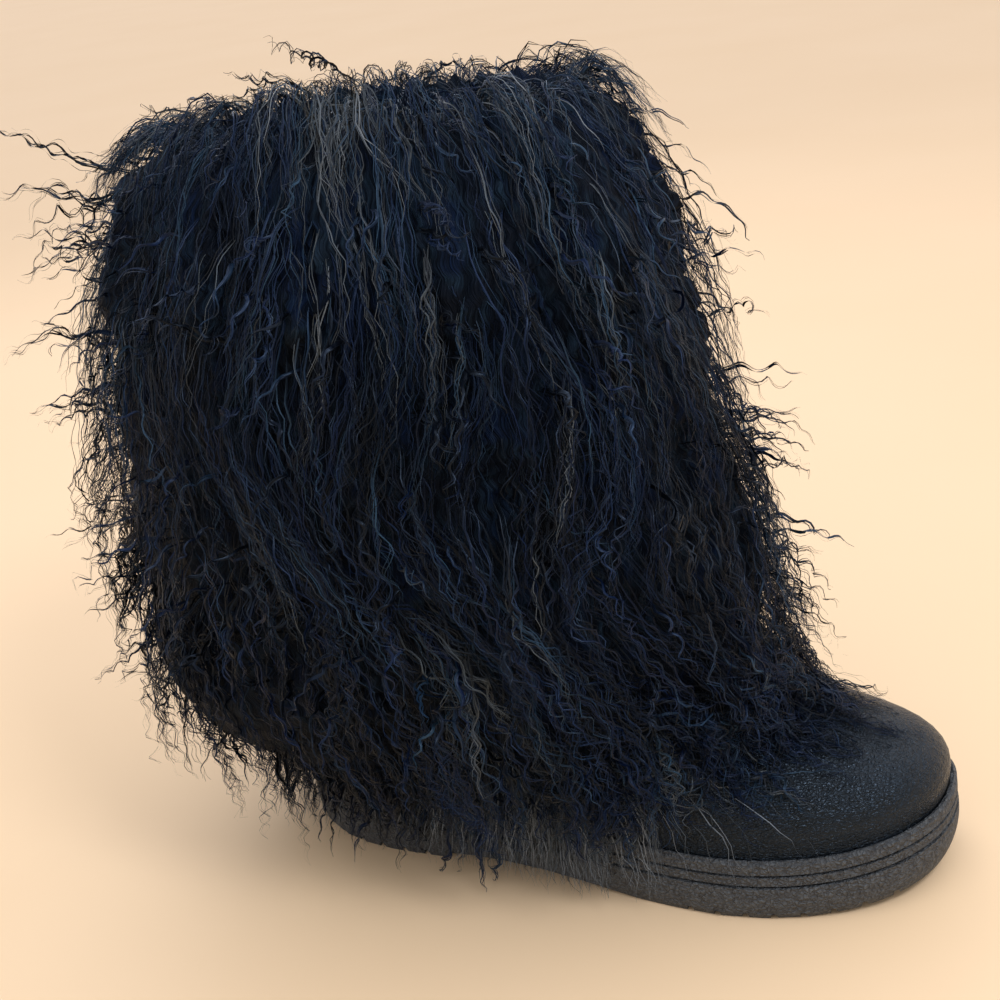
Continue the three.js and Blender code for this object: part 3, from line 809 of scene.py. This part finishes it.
# how a lock is split into hairs: bundles, their ribbons' widths and the loose fine hair's in mm, the share
# of bundles that carry one, how far a hair's points crowd to its tip, how wide bundles and hairs stand at
# the root, how far the root is lifted out of the painted root shade, the share of bundles that stray, and
# how far fine hair stands from its lock
lockHabit = {"bundles": 3, "widths": [(0.42, 0.86), (0.28, 0.52)], "fine": (0.18, 0.3), "loose": 0.5,
             "early": 0.8, "spread": 1.0, "bunch": 1.4, "rootShade": 0.0, "stray": 0.2, "fineSpread": 4.0}
# how the bundles of a lock differ from each other, and the hairs of a bundle; drift and frizz in mm
scatter = {"swing": (0.7, 1.3), "wave": (0.85, 1.18), "phase": 0.45, "second": 0.3, "share": (0.75, 1.0),
           "tilt": 0.2, "drift": 1.2, "hairPhase": 0.25, "hairSwing": (0.8, 1.2), "hairShare": (0.85, 1.0),
           "hairDrift": 0.6, "frizz": 0.2, "tone": 0.07, "roll": 0.5}


def growHairs(name, roots, habit):
    z, bundles = roots["z"], habit["bundles"]
    lock = np.repeat(np.arange(len(z)), bundles)
    count = len(lock)
    neat = np.clip(-2.5 * np.cos(roots["far"]) - 0.5, 0, 1) * below(z, 120, 20)   # behind the heel
    stray = rng.random(count) < habit["stray"] * (1 - 0.8 * neat[lock])
    rootSpread = rowValue("spread", z[lock]) * habit["spread"] * mm
    lockA, lockB = disc(count, rootSpread * np.where(stray, 1.5, 1.0))
    bundle = {
        "swing": roots["swing"][lock] * rng.uniform(*scatter["swing"], count),
        "wave": roots["wave"][lock] * rng.uniform(*scatter["wave"], count),
        "phase": (rng.random(len(z)) * anyPhase)[lock]
                 + rng.normal(0, scatter["phase"], count) * np.where(stray, 5, 1),
        "second": (rng.random(len(z)) * anyPhase)[lock] + rng.normal(0, scatter["second"], count),
        "lockA": lockA, "lockB": lockB, "gather": np.where(stray, 0.1, rowValue("gather", z[lock])),
        "hand": np.where(rng.random(len(z)) < 0.5, -1.0, 1.0)[lock],
        "share": rng.uniform(*scatter["share"], count),
        "tilt": rng.normal(0, scatter["tilt"], (len(z), 3))[lock],
        "drift": rng.normal(0, scatter["drift"] * mm, len(z))[lock],
    }
    hairs = np.tile(np.arange(count), len(habit["widths"]))
    width = np.concatenate([rng.uniform(low, high, count) for low, high in habit["widths"]])
    loose = np.flatnonzero(rng.random(count) < habit["loose"])
    hairs = np.concatenate([hairs, loose])
    width = np.concatenate([width, rng.uniform(*habit["fine"], len(loose))]) * mm
    total = len(hairs)
    fine = np.arange(total) >= total - len(loose)
    curl = {key: value[hairs] for key, value in bundle.items()}
    curl["hairA"], curl["hairB"] = disc(total, np.where(fine, habit["fineSpread"], habit["bunch"]) * mm)
    curl["phase"] = curl["phase"] + rng.normal(0, scatter["hairPhase"], total) * np.where(fine, 4, 1)
    curl["swing"] = curl["swing"] * rng.uniform(*scatter["hairSwing"], total) * np.where(fine, 1.25, 1)
    curl["share"] = curl["share"] * rng.uniform(*scatter["hairShare"], total)
    curl["drift"] = curl["drift"] + rng.normal(0, scatter["hairDrift"] * mm, total)
    curl["frizz"] = rng.normal(0, scatter["frizz"] * mm, total)
    owner = lock[hairs]
    points, t = hairLines(roots["guide"][owner], roots["length"][owner], roots["far"][owner], curl,
                          habit["steps"], habit["early"])
    tone = roots["tone"][owner] + rng.normal(0, scatter["tone"], count)[hairs]
    tone = tone + rng.normal(0, scatter["tone"], total)
    roll = rng.normal(0, scatter["roll"], total)
    mesh = hairMesh(name, keepClear(points), t, width, roll, np.clip(tone, 0.01, 0.99), habit["rootShade"])
    addPiece(name, mesh, hair, ["fur"])
    print(name, total, "hairs", len(mesh.polygons) * 2, "triangles")


# patches of navy, slate and brown a few centimetres across, paler at the top as painted light from above and
# greyer at the hem beside the sole, darker over the instep, and darker on the outer side towards the heel as
# painted shade on the side turned away from the key lamp
dyeAndPaintedLight = {"middle": 0.33, "patch": 0.115, "scatter": 0.17, "palest": 0.88, "top": 0.2, "hem": 0.42, "dim": 0.1}


def toneAt(turn, z):
    front = np.cos(turn)
    patch = np.sin(2 * turn + z / (31 * mm)) + np.sin(5 * turn - z / (23 * mm) + 1.3)
    patch = patch + np.sin(z / (12 * mm) + 8 * turn)
    beside = np.clip(1.2 - front, 0, 1) * np.clip((front + 0.8) / 0.4, 0, 1)
    # painted light: the hair is made paler towards the top, as lit from above
    pale = dyeAndPaintedLight["top"] * above(z, 220, 70) + dyeAndPaintedLight["hem"] * below(z, 85, 30) * beside
    dim = dyeAndPaintedLight["dim"] * np.clip((front - 0.1) * 2, 0, 1) * below(z, 150, 40)
    # painted shade: darker on the outer side towards the heel, turned away from the key lamp
    dim += dyeAndPaintedLight["dim"] * np.exp(-((np.mod(turn, fullTurn) - 4.0) / 0.6) ** 2) * below(z, 230, 40)
    tone = dyeAndPaintedLight["middle"] + dyeAndPaintedLight["patch"] * patch + pale - dim + rng.normal(0, dyeAndPaintedLight["scatter"], len(z))
    return np.clip(tone, 0, dyeAndPaintedLight["palest"])


# the coat's locks, one piece for each band of root heights
bands = [
    {"name": "fur_hem", "from": 0, "to": 70, "steps": 29},
    {"name": "fur_ankle", "from": 70, "to": 106, "steps": 29},
    {"name": "fur_calf", "from": 106, "to": 148, "steps": 28},
    {"name": "fur_shin", "from": 148, "to": 196, "steps": 25},
    {"name": "fur_shaft", "from": 196, "to": 248, "steps": 23, "widths": [(0.3, 0.65), (0.22, 0.42)]},
    {"name": "fur_collar", "from": 248, "to": 320, "steps": 23, "widths": [(0.3, 0.6), (0.22, 0.4)],
     "rootShade": 0.5},
]
soleClear = {"height": 27, "least": 14}                # beside the sole, locks end above it


def makeFur():
    turn, z = plantLocks()
    n = len(turn)
    front = np.clip(np.cos(turn), 0, 1) * below(z, 120, 30)
    fall = rowValue("fall", z) * mm * rng.uniform(0.8, 1.2, n) * (1 - 0.15 * front)
    space = np.maximum(z - soleClear["height"] * mm, soleClear["least"] * mm)
    fall = np.where(np.cos(turn) > -0.6, np.minimum(fall, space), fall)
    fall *= 1 - 0.3 * front * below(z, 85, 20)
    rise = rowValue("rise", z) * standing(turn) * mm * rng.uniform(0.6, 1.1, n) + 3 * mm * front
    reach = rng.uniform(*locks["reach"], n)
    lean = rng.normal(0, 0.13, n) + 0.13 * np.sin(2 * turn + z / (40 * mm))
    lean = lean + 0.1 * np.sin(7 * turn - z / (19 * mm))
    roots = guideLines(turn, z, fall, rise, reach, lean)
    roots["tone"] = toneAt(turn, z)
    roots["wave"] = rowValue("wave", z) * mm * rng.uniform(0.85, 1.2, n)
    ringlet = (rng.random(n) < locks["ringlet"]) & (z < 130 * mm) & (np.cos(turn) > -0.2)
    roots["swing"] = rowValue("swing", z) * mm * rng.uniform(0.6, 1.4, n) * np.where(ringlet, 1.7, 1)
    print("locks planted", n)
    for band in bands:
        pick = np.flatnonzero((z / mm >= band["from"]) & (z / mm < band["to"]))
        growHairs(band["name"], {key: value[pick] for key, value in roots.items()}, {**lockHabit, **band})


def setCurl(roots, style, tone):
    n = len(roots["z"])
    roots["tone"] = tone
    roots["swing"] = rng.uniform(*style["swing"], n) * mm
    roots["wave"] = rng.uniform(*style["wave"], n) * mm
    return roots


# thin curls that stand clear of the coat
wisps = {"count": 450, "reach": (1.1, 1.8), "fall": (0.15, 0.6), "rise": (2, 8), "wave": (7.5, 12),
         "swing": (0.8, 1.8), "lean": 0.15, "longest": 48, "darker": 0.8}
wispHabit = {**lockHabit, "bundles": 1, "widths": [(0.8, 1.5), (0.5, 0.9), (0.25, 0.5)], "steps": 28,
             "early": 0.9, "spread": 0.5, "bunch": 1.3}


def makeWisps():
    turn, z = plantLocks()
    pick = rng.choice(len(turn), wisps["count"], replace=False)
    turn, z = turn[pick], z[pick]
    n = len(turn)
    fall = rowValue("fall", z) * mm * rng.uniform(*wisps["fall"], n)
    rise = np.minimum(rowValue("rise", z), 12) * mm * 0.6 + rng.uniform(*wisps["rise"], n) * mm
    reach = rng.uniform(*wisps["reach"], n)
    roots = guideLines(turn, z, fall, rise, reach, rng.normal(0, wisps["lean"], n), wisps["longest"] * mm)
    growHairs("fur_wisps", setCurl(roots, wisps, toneAt(turn, z) * wisps["darker"]), wispHabit)


# pointed locks that hang from the back of the coat and its hem
pointed = {"count": 180, "turns": (2.45, 4.6), "heights": (40, 160), "fall": (30, 52), "reach": (1.0, 1.25),
           "wave": (8.5, 12), "swing": (0.8, 1.4), "lean": 0.1, "darker": 0.75}
pointedHabit = {**lockHabit, "bundles": 2, "widths": [(0.8, 1.4), (0.55, 1.0), (0.35, 0.6)], "loose": 0.3,
                "steps": 29, "early": 0.9, "spread": 0.45, "bunch": 1.3, "stray": 0.04, "fineSpread": 1.5}


def makePoints():
    n = pointed["count"]
    turn = rng.uniform(*pointed["turns"], n)
    low, high = pointed["heights"]
    z = (low + (high - low) * rng.random(n) ** 1.7) * mm   # more of them lower down
    fall = rng.uniform(*pointed["fall"], n) * mm
    reach = rng.uniform(*pointed["reach"], n)
    roots = guideLines(turn, z, fall, np.zeros(n), reach, rng.normal(0, pointed["lean"], n))
    growHairs("fur_points", setCurl(roots, pointed, toneAt(turn, z) * pointed["darker"]), pointedHabit)


# thick tapering locks that stand out from the coat on their own, more of them at the back
tendrils = {"count": 100, "back": 0.55, "backTurn": (3.5, 0.4), "heights": (95, 285), "start": 0.7,
            "out": (14, 34), "aside": 9, "sink": (-10, 7), "wave": (8, 12), "swing": (1.0, 2.0), "sway": 4.0,
            "arch": 5, "stretch": 1.25, "tone": (0.0, 0.35)}
tendrilHabit = {**lockHabit, "bundles": 1, "widths": [(0.6, 1.1), (0.4, 0.8), (0.25, 0.5)], "loose": 0.8,
                "steps": 38, "early": 0.95, "spread": 0.3, "bunch": 1.3}
longHabit = {**tendrilHabit, "bundles": 2, "steps": 42}
# the longest tendrils, by the turn and height of their roots and by how far they stand out, in mm
longTendrils = [
    {"turn": 3.73, "z": 288, "to": (-46, -13, 15)},
    {"turn": 3.76, "z": 281, "to": (-40, -18, 0)},
    {"turn": 3.62, "z": 262, "to": (-38, -16, -8)},
    {"turn": 3.85, "z": 232, "to": (-40, -18, -2)},
    {"turn": 3.50, "z": 205, "to": (-34, -14, -12)},
    {"turn": 2.05, "z": 297, "to": (-44, 14, 18)},
    {"turn": 2.32, "z": 294, "to": (-42, 4, 10)},
    {"turn": 2.75, "z": 290, "to": (-36, 0, 6)},
]


def makeTendrils():
    n, first = tendrils["count"], len(longTendrils)
    back = rng.random(n) < tendrils["back"]
    turn = np.where(back, rng.normal(*tendrils["backTurn"], n), rng.uniform(0, fullTurn, n))
    z = np.append([one["z"] for one in longTendrils], rng.uniform(*tendrils["heights"], n)) * mm
    out = rng.uniform(*tendrils["out"], n)
    aside = rng.normal(0, tendrils["aside"], n)
    sink = rng.uniform(*tendrils["sink"], n)
    way = np.stack([out * np.cos(turn) - aside * np.sin(turn),
                    out * np.sin(turn) + aside * np.cos(turn), sink], axis=-1)
    way = np.concatenate([[one["to"] for one in longTendrils], way]) * mm
    turn = np.append([one["turn"] for one in longTendrils], turn)
    hide = readTable(hideTable, turn, z)
    foot = onShaft(turn, hide + tendrils["start"] * (readTable(coatTable, turn, z) - hide), z)
    t = lineSteps[..., None]
    steady = np.where(np.arange(len(z)) < first, 0.5, 1)[:, None, None]   # the longest sway less
    sway = rng.normal(0, tendrils["sway"] * mm, (2, len(z), 1, 3)) * steady
    sway = sway[0] * np.sin(fullTurn * t) + sway[1] * np.sin(np.pi * t)
    arch = np.array([0, 0, tendrils["arch"] * mm]) * np.sin(np.pi * t)
    line = foot[:, None] + way[:, None] * tendrils["stretch"] * t + arch + sway
    roots = lineRoots(line, freely, turn, z)
    roots = setCurl(roots, tendrils, rng.uniform(*tendrils["tone"], len(z)))
    growHairs("fur_long_tendrils", {key: value[:first] for key, value in roots.items()}, longHabit)
    growHairs("fur_tendrils", {key: value[first:] for key, value in roots.items()}, tendrilHabit)


# small tight curls over the instep, where the coat ends on the vamp
curls = {"count": 104, "turns": (-0.15, 0.55), "above": (0, 34), "fall": (12, 26), "rise": (2, 8),
         "reach": (0.95, 1.3), "lean": 0.12, "wave": (6.5, 9.0), "swing": (1.6, 2.6)}
curlHabit = {**lockHabit, "steps": 25, "early": 0.9}


def makeInstepCurls():
    n = curls["count"]
    turn = rng.normal(*curls["turns"], n)
    z = hemAt(turn) + rng.uniform(*curls["above"], n) * mm
    fall, rise = (rng.uniform(*curls[name], n) * mm for name in ("fall", "rise"))
    reach = rng.uniform(*curls["reach"], n)
    roots = guideLines(turn, z, fall, rise, reach, rng.normal(0, curls["lean"], n))
    growHairs("fur_instep", setCurl(roots, curls, toneAt(turn, z)), curlHabit)


# soft short hair at the hem, which lies down over the leather and the edge of the sole
fringes = [
    {"name": "fur_fringe", "count": 2800, "turns": (0.75, 5.42), "above": (-8, 22), "fall": (30, 62),
     "away": (1.5, 9), "lean": 0.06, "soft": 0.2, "wave": (10, 16), "swing": (0.4, 1.1), "tone": (0.86, 1.0),
     "steps": 11},
    {"name": "fur_vamp", "count": 850, "turns": (-0.75, 0.6), "above": (-2, 12), "fall": (5, 14),
     "away": (0.8, 4), "lean": 0.16, "soft": 0.1, "wave": (5, 8), "swing": (0.7, 1.5), "tone": (0.05, 0.6),
     "steps": 14},
]
fringeHabit = {**lockHabit, "bundles": 1, "widths": [(0.22, 0.46)], "loose": 0, "early": 1.0,
               "rootShade": 0.6}
fringeLimits = {"root": 34, "floor": 5, "longest": 60}   # lowest root, lowest tip and longest hair, in mm


def makeFringes():
    t = lineSteps
    for part in fringes:
        n = part["count"]
        turn = rng.uniform(*part["turns"], n) + rng.normal(0, part["soft"], n)
        z = np.maximum(hemAt(turn), fringeLimits["root"] * mm) + rng.uniform(*part["above"], n) * mm
        fall = np.minimum(rng.uniform(*part["fall"], n) * mm, z - fringeLimits["floor"] * mm)
        height = z[:, None] - fall[:, None] * t
        around = turn[:, None] + rng.normal(0, part["lean"], n)[:, None] * t
        away = rng.uniform(*part["away"], n)[:, None] * mm * (1 + t)
        radius = np.maximum.accumulate(readTable(hideTable, around, height) + away, axis=1)
        roots = lineRoots(onShaft(around, radius, height), fringeLimits["longest"] * mm, turn, z)
        roots = setCurl(roots, part, rng.uniform(*part["tone"], n))
        growHairs(part["name"], roots, {**fringeHabit, "steps": part["steps"]})


def ringOf(count):
    return (np.arange(count) + rng.uniform(-0.4, 0.4, count)) / count * fullTurn


# hair rooted on the collar's rim stands up and flops in over the opening
rimLocks = {"count": 135, "root": 286, "gap": 2, "rise": (9, 19), "over": (0, 34), "droop": (0, 24),
            "lean": 0.16, "wave": (10, 15), "swing": (0.6, 1.4)}
rimHabit = {**lockHabit, "widths": [(0.3, 0.6), (0.22, 0.4)], "steps": 18, "early": 1.0, "spread": 0.6,
            "rootShade": 0.52}


def makeRimFur():
    n, t = rimLocks["count"], lineSteps
    turn = ringOf(n)
    rise, over, droop = (rng.uniform(*rimLocks[name], n) * mm for name in ("rise", "over", "droop"))
    rise = rise * standing(turn)
    z = np.full(n, rimLocks["root"] * mm)
    radius = readTable(hideTable, turn, z)[:, None] + rimLocks["gap"] * mm - over[:, None] * t ** 1.6
    height = z[:, None] + rise[:, None] * np.sin(np.pi * t * 0.72) - droop[:, None] * t ** 2.5
    around = turn[:, None] + rng.normal(0, rimLocks["lean"], n)[:, None] * t
    roots = lineRoots(onShaft(around, radius, height), freely, turn, z)
    growHairs("fur_rim", setCurl(roots, rimLocks, toneAt(turn, z)), rimHabit)


# hair that rises from the rim and lies outwards over the collar's shoulder
crownLocks = {"count": 230, "root": 289, "gap": 1.5, "rise": (8, 20), "peak": (0.3, 0.46),
              "reach": (0.85, 1.15), "reachAt": 20, "lean": 0.12, "longest": 92, "wave": (11, 16),
              "swing": (0.6, 1.3)}


def makeCrown():
    n, t = crownLocks["count"], lineSteps
    turn = ringOf(n)
    rise = rng.uniform(*crownLocks["rise"], n) * standing(turn) * mm
    peak = rng.uniform(*crownLocks["peak"], n)
    z = np.full(n, crownLocks["root"] * mm)
    hide = readTable(hideTable, turn, z)
    deep = readTable(coatTable, turn, z - crownLocks["reachAt"] * mm) - hide
    reach = deep * rng.uniform(*crownLocks["reach"], n)
    radius = hide[:, None] + crownLocks["gap"] * mm + reach[:, None] * t ** 1.15
    height = z[:, None] + (rise / peak ** 2)[:, None] * (2 * peak[:, None] * t - t ** 2)
    around = turn[:, None] + rng.normal(0, crownLocks["lean"], n)[:, None] * t
    roots = lineRoots(onShaft(around, radius, height), crownLocks["longest"] * mm, turn, z)
    growHairs("fur_crown", setCurl(roots, crownLocks, toneAt(turn, z)), {**rimHabit, "steps": 20})


makeFur()
makeWisps()
makePoints()
makeTendrils()
makeInstepCurls()
makeFringes()
makeRimFur()
makeCrown()
print("fur grown")
